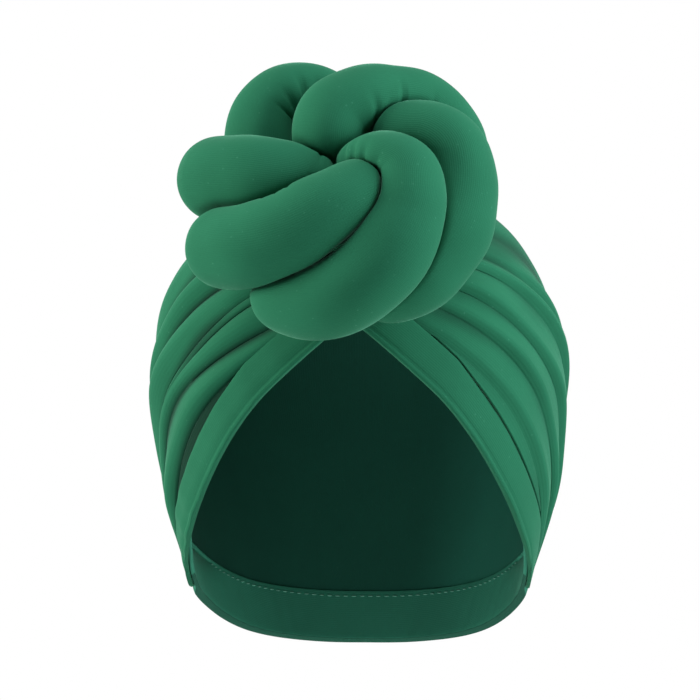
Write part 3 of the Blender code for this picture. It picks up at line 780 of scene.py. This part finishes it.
def makeStitches():
    # short rounded threads in a row under the top edge of the nape band, on its inner face
    rim = np.linspace(band["stitchFrom"], 2 - band["stitchFrom"], band["stitchSamples"])
    place = clothPoint(rim, bandTop(rim) + band["stitchAt"] / downRate(rim), 0.0)
    run = np.concatenate([[0.0], np.linalg.norm(np.diff(place, axis=0), axis=1).cumsum()])
    count = int(run[-1] / band["stitchPitch"])
    middle = np.interp((np.arange(count) + 0.5) * band["stitchPitch"], run, rim)
    down = bandTop(middle) + band["stitchAt"] / downRate(middle)
    centre = clothPoint(middle, down, -band["innerProud"] - band["stitchProud"])
    step = band["stitchStep"]
    ahead = unit(clothPoint(middle + step, down, 0.0) - clothPoint(middle - step, down, 0.0))
    outward = unit(clothPoint(middle, down, step) - clothPoint(middle, down, 0.0))
    sideways = np.cross(outward, ahead)
    turn, rise = np.meshgrid(
        np.linspace(0, 2 * math.pi, band["stitchTurns"]), np.linspace(0, math.pi, band["stitchRises"]))
    ball = np.stack([np.cos(rise), np.sin(rise) * np.cos(turn), np.sin(rise) * np.sin(turn)], axis=-1)
    size = np.array([band["stitchLength"], band["stitchWidth"], band["stitchWidth"]]) / 2
    frames = np.stack([ahead, sideways, outward], axis=1)
    local = (ball * size).reshape(-1, 3)
    points = centre[:, None, :] + np.einsum("pk,nkc->npc", local, frames)
    strips = [points[k].reshape(*ball.shape) for k in range(count)]
    piece = joinGrids("nape_stitches", strips, threadMaterial)
    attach(piece, "root")
    return piece


hemPieces = [
    makeHem("front_hem_right", hems["rightWidth"], 1),
    makeHem("front_hem_left", hems["leftWidth"], -1),
]
bandPiece = makeBand()
stitchPiece = makeStitches()
print("hems and nape casing sewn")


# Knot: padded rolls along smooth lines, pressed flat where they meet each other and lifted
# off the cloth under them. across and up are shares of the knot's radius, out and girth are
# shares of a roll's diameter, and out is counted from the knot's middle, which bends back.

knot = dict(
    radius=0.062, diameter=0.032, depth=0.060, tilt=27.0, seat=38.0, bend=0.130, blunt=2.4,
    rings=170, sides=96, samples=120, clearance=0.0008, round=0.0022, lift=0.0059,
    lump=0.00035, lumpPitch=0.021, lumpRun=0.8, lumpRound=0.012, lumpRadius=0.01, lumpEnd=0.08, lumpSeed=31,
)
RollPoint = namedtuple("RollPoint", "across up out girth")
rolls = {
    "knot_roll_upper_left": [
        RollPoint(-0.06, 0.05, 0.09, 0.66),
        RollPoint(-0.28, 0.08, 0.25, 0.88),
        RollPoint(-0.50, 0.11, 0.34, 1.02),
        RollPoint(-0.72, 0.17, 0.28, 1.08),
        RollPoint(-0.88, 0.24, 0.14, 1.05),
        RollPoint(-1.00, 0.29, 0.02, 0.98),
    ],
    "knot_roll_lower_left": [
        RollPoint(0.29, 0.03, 0.21, 0.62),
        RollPoint(0.14, -0.09, 0.52, 0.89),
        RollPoint(-0.09, -0.25, 0.63, 1.04),
        RollPoint(-0.33, -0.35, 0.56, 1.06),
        RollPoint(-0.55, -0.37, 0.44, 1.06),
        RollPoint(-0.75, -0.31, 0.25, 1.04),
        RollPoint(-0.91, -0.19, 0.05, 0.95),
    ],
    "knot_roll_inner": [
        RollPoint(0.03, 0.12, 0.12, 0.66),
        RollPoint(0.11, 0.13, 0.38, 0.78),
        RollPoint(0.25, 0.10, 0.62, 0.83),
        RollPoint(0.35, 0.02, 0.69, 0.87),
        RollPoint(0.38, -0.13, 0.69, 0.94),
        RollPoint(0.35, -0.28, 0.62, 1.02),
        RollPoint(0.27, -0.44, 0.56, 1.08),
        RollPoint(0.13, -0.57, 0.44, 1.10),
        RollPoint(-0.04, -0.64, 0.25, 1.10),
        RollPoint(-0.21, -0.63, 0.06, 1.08),
        RollPoint(-0.40, -0.55, -0.12, 1.00),
        RollPoint(-0.54, -0.46, -0.25, 0.90),
    ],
    "knot_roll_outer": [
        RollPoint(0.17, 0.46, 0.06, 0.80),
        RollPoint(0.33, 0.44, 0.25, 0.92),
        RollPoint(0.50, 0.41, 0.36, 0.96),
        RollPoint(0.63, 0.31, 0.38, 0.98),
        RollPoint(0.69, 0.12, 0.31, 0.98),
        RollPoint(0.68, -0.09, 0.25, 0.98),
        RollPoint(0.62, -0.26, 0.19, 1.00),
        RollPoint(0.51, -0.39, 0.06, 1.02),
        RollPoint(0.37, -0.48, -0.06, 1.00),
        RollPoint(0.21, -0.51, -0.19, 0.95),
        RollPoint(0.07, -0.51, -0.31, 0.90),
    ],
    "knot_roll_top": [
        RollPoint(-0.13, 0.27, 0.06, 0.85),
        RollPoint(-0.14, 0.41, 0.25, 0.93),
        RollPoint(-0.08, 0.56, 0.36, 0.98),
        RollPoint(0.05, 0.66, 0.38, 0.98),
        RollPoint(0.23, 0.72, 0.28, 0.98),
        RollPoint(0.40, 0.75, 0.15, 0.98),
        RollPoint(0.54, 0.71, -0.02, 0.98),
        RollPoint(0.62, 0.60, -0.22, 0.98),
        RollPoint(0.61, 0.42, -0.42, 0.98),
        RollPoint(0.45, 0.20, -0.55, 0.98),
        RollPoint(0.26, 0.00, -0.58, 0.90),
    ],
    "knot_roll_back": [
        RollPoint(-0.49, 0.18, -0.48, 0.85),
        RollPoint(-0.59, 0.43, -0.32, 0.88),
        RollPoint(-0.60, 0.64, -0.12, 0.88),
        RollPoint(-0.56, 0.80, -0.02, 0.88),
        RollPoint(-0.45, 0.92, 0.00, 0.90),
        RollPoint(-0.30, 0.96, -0.14, 0.92),
        RollPoint(-0.13, 0.88, -0.36, 0.95),
        RollPoint(-0.02, 0.66, -0.52, 0.98),
        RollPoint(0.00, 0.38, -0.58, 0.98),
        RollPoint(-0.08, 0.12, -0.60, 0.90),
    ],
}

# Creases of each roll: how far along it (0 to 1) and round it (degrees from the outward side)
# each one lies, its reach along the roll as a share of its length, its slant in degrees of turn
# for the whole length, its width in degrees and its depth in millimetres

Crease = namedtuple("Crease", "along angle reach slant width depth")
creases = {
    "knot_roll_top": [
        Crease(0.345, -32, 0.0065, 40, 24, 1.9),
        Crease(0.455, -30, 0.0060, -60, 20, 1.8),
        Crease(0.570, -36, 0.0065, -40, 18, 1.4),
        Crease(0.250, -52, 0.0100, 0, 26, 1.2),
        Crease(0.300, -50, 0.0060, 0, 20, 0.8),
    ],
    "knot_roll_back": [
        Crease(0.430, -28, 0.0080, 30, 30, 1.8),
        Crease(0.480, -34, 0.0070, 0, 26, 1.5),
        Crease(0.380, -45, 0.0090, 0, 28, 1.5),
        Crease(0.320, -55, 0.0090, 0, 26, 1.0),
    ],
    "knot_roll_inner": [
        Crease(0.090, -8, 0.0065, 0, 30, 1.1),
        Crease(0.120, -16, 0.0060, 0, 28, 1.3),
        Crease(0.152, -26, 0.0060, 0, 24, 1.1),
        Crease(0.190, -38, 0.0080, 0, 20, 0.8),
    ],
    "knot_roll_upper_left": [
        Crease(0.120, 20, 0.0100, 0, 26, 0.8),
        Crease(0.190, 35, 0.0100, 0, 22, 0.7),
        Crease(0.160, -40, 0.0090, 0, 22, 0.7),
    ],
    "knot_roll_lower_left": [
        Crease(0.450, -70, 0.0110, 0, 18, 0.9),
        Crease(0.520, -72, 0.0090, 0, 18, 0.9),
        Crease(0.590, -70, 0.0110, 0, 18, 0.7),
    ],
}


def knotAxes():
    tilt = math.radians(knot["tilt"])
    outward = np.array([0.0, -math.cos(tilt), math.sin(tilt)])
    up = np.array([0.0, math.sin(tilt), math.cos(tilt)])
    cloth = layers["lining"] + layers["clearance"] + layers["wrap"]
    seat = formPoint(directionAt(0.0, knot["seat"]), cloth)
    return np.array([1.0, 0.0, 0.0]), up, outward, seat + outward * knot["depth"] / 2


def rollPath(table, share):
    # centres and radii at shares of a roll's length, on cubics through its points
    right, up, outward, middle = knotAxes()
    across, rise = knot["radius"] * table[:, :1], knot["radius"] * table[:, 1:2]
    out = knot["diameter"] * table[:, 2:3] - (across ** 2 + rise ** 2) / (2 * knot["bend"])
    centres = middle + across * right + rise * up + out * outward
    keys = np.concatenate([centres, knot["diameter"] / 2 * table[:, 3:4]], axis=1)
    places = np.concatenate([[0], np.linalg.norm(np.diff(centres, axis=0), axis=1).cumsum()])
    slopes = np.gradient(keys, places, axis=0)
    distance = share * places[-1]
    index = np.clip(np.searchsorted(places, distance, side="right") - 1, 0, len(places) - 2)
    step = (places[index + 1] - places[index])[:, None]
    x = (distance - places[index])[:, None] / step
    line = hermite(x, step, keys[index], keys[index + 1], slopes[index], slopes[index + 1])
    start = np.clip(1 - distance / keys[0, 3], 0, 1)
    end = np.clip(1 - (places[-1] - distance) / keys[-1, 3], 0, 1)
    blunt = knot["blunt"]
    closing = ((1 - start ** blunt) * (1 - end ** blunt)).clip(0) ** (1 / blunt)
    return line[:, :3], line[:, 3] * closing, distance


def softLeast(first, second, width):
    # the smaller of two lengths, rounded over where they are alike
    h = np.clip(0.5 + 0.5 * (second - first) / width, 0, 1)
    return second + (first - second) * h - width * h * (1 - h)


def liftOff(points):
    # points inside the form, grown by the cloth on it, are moved out onto it
    grown = np.array([form["halfWidth"], form["frontDepth"], form["crownHeight"]]) + knot["lift"]
    centre = np.array([0.0, 0.0, -form["crownHeight"]])
    reach = np.linalg.norm((points - centre) / grown, axis=-1, keepdims=True)
    return centre + (points - centre) * np.maximum(1.0, 1.0 / reach)


def makeRoll(node, seed):
    # rings round the roll's line. A point lies at the roll's radius, or nearer where it would cross
    # a neighbour: at the squares of the distance and of the roll's radius, less the square of the
    # neighbour's radius, over twice the distance's part along the point's own direction.
    share = (1 - np.cos(np.linspace(0, math.pi, knot["rings"]))) / 2
    centres, radii, distance = rollPath(np.array(rolls[node]), share)
    outward = knotAxes()[2]
    tangents = unit(np.gradient(centres, distance, axis=0))
    side = unit(np.cross(tangents, outward))
    top = np.cross(side, tangents)
    angle = np.linspace(0, 2 * math.pi, knot["sides"] + 1)[None, :, None]
    spread = np.sin(angle) * side[:, None] - np.cos(angle) * top[:, None]
    if (spread[:, 0] @ outward).mean() < 0:
        spread = -spread
    room = np.repeat(radii[:, None], knot["sides"] + 1, axis=1)
    for other in rolls:
        if other == node:
            continue
        middles, girths, _ = rollPath(np.array(rolls[other]), np.linspace(0, 1, knot["samples"]))
        away = middles[None] - centres[:, None]
        reach = (away ** 2).sum(axis=-1) + radii[:, None] ** 2 - girths[None] ** 2
        towards = np.einsum("rsc,rnc->rsn", spread, away)
        meets = np.where(towards > 0, reach[:, None] / np.maximum(2 * towards, 1e-9), 1.0).min(axis=-1)
        room = softLeast(room, meets - knot["clearance"] / 2, knot["round"])
    room = np.maximum(room, 0.0)
    degrees = np.degrees(angle[..., 0])
    for crease in creases.get(node, []):
        turn = (degrees - crease.angle - crease.slant * (share[:, None] - crease.along) + 180) % 360 - 180
        fade = dent(share[:, None], crease.along, crease.reach) * dent(turn, 0.0, crease.width)
        room = room - millimetre * crease.depth * fade * (radii > 0)[:, None]
    run, turn = distance[:, None] * knot["lumpRun"], np.sin(angle[..., 0]) * knot["lumpRound"]
    lumps = ripple(run, turn, knot["lumpPitch"], seed)
    lumps = lumps * smoothStep(radii[:, None] / knot["lumpRadius"])
    lumps = lumps * smoothStep(np.minimum(share, 1 - share) / knot["lumpEnd"])[:, None]
    room = room + knot["lump"] * lumps
    points = liftOff(centres[:, None] + np.maximum(room, 0.0)[..., None] * spread)
    wales = round(2 * math.pi * radii.max() / jersey["wale"])
    around = angle[..., 0] / (2 * math.pi) * wales * jersey["wale"]
    uv = np.stack([around + 0 * distance[:, None], distance[:, None] + 0 * around], axis=-1)
    piece = finished(gridMesh(node + "_padded", points, uv, wrapJersey, closed=True), node)


for k, node in enumerate(rolls):
    makeRoll(node, knot["lumpSeed"] + k)
print("knot tied")
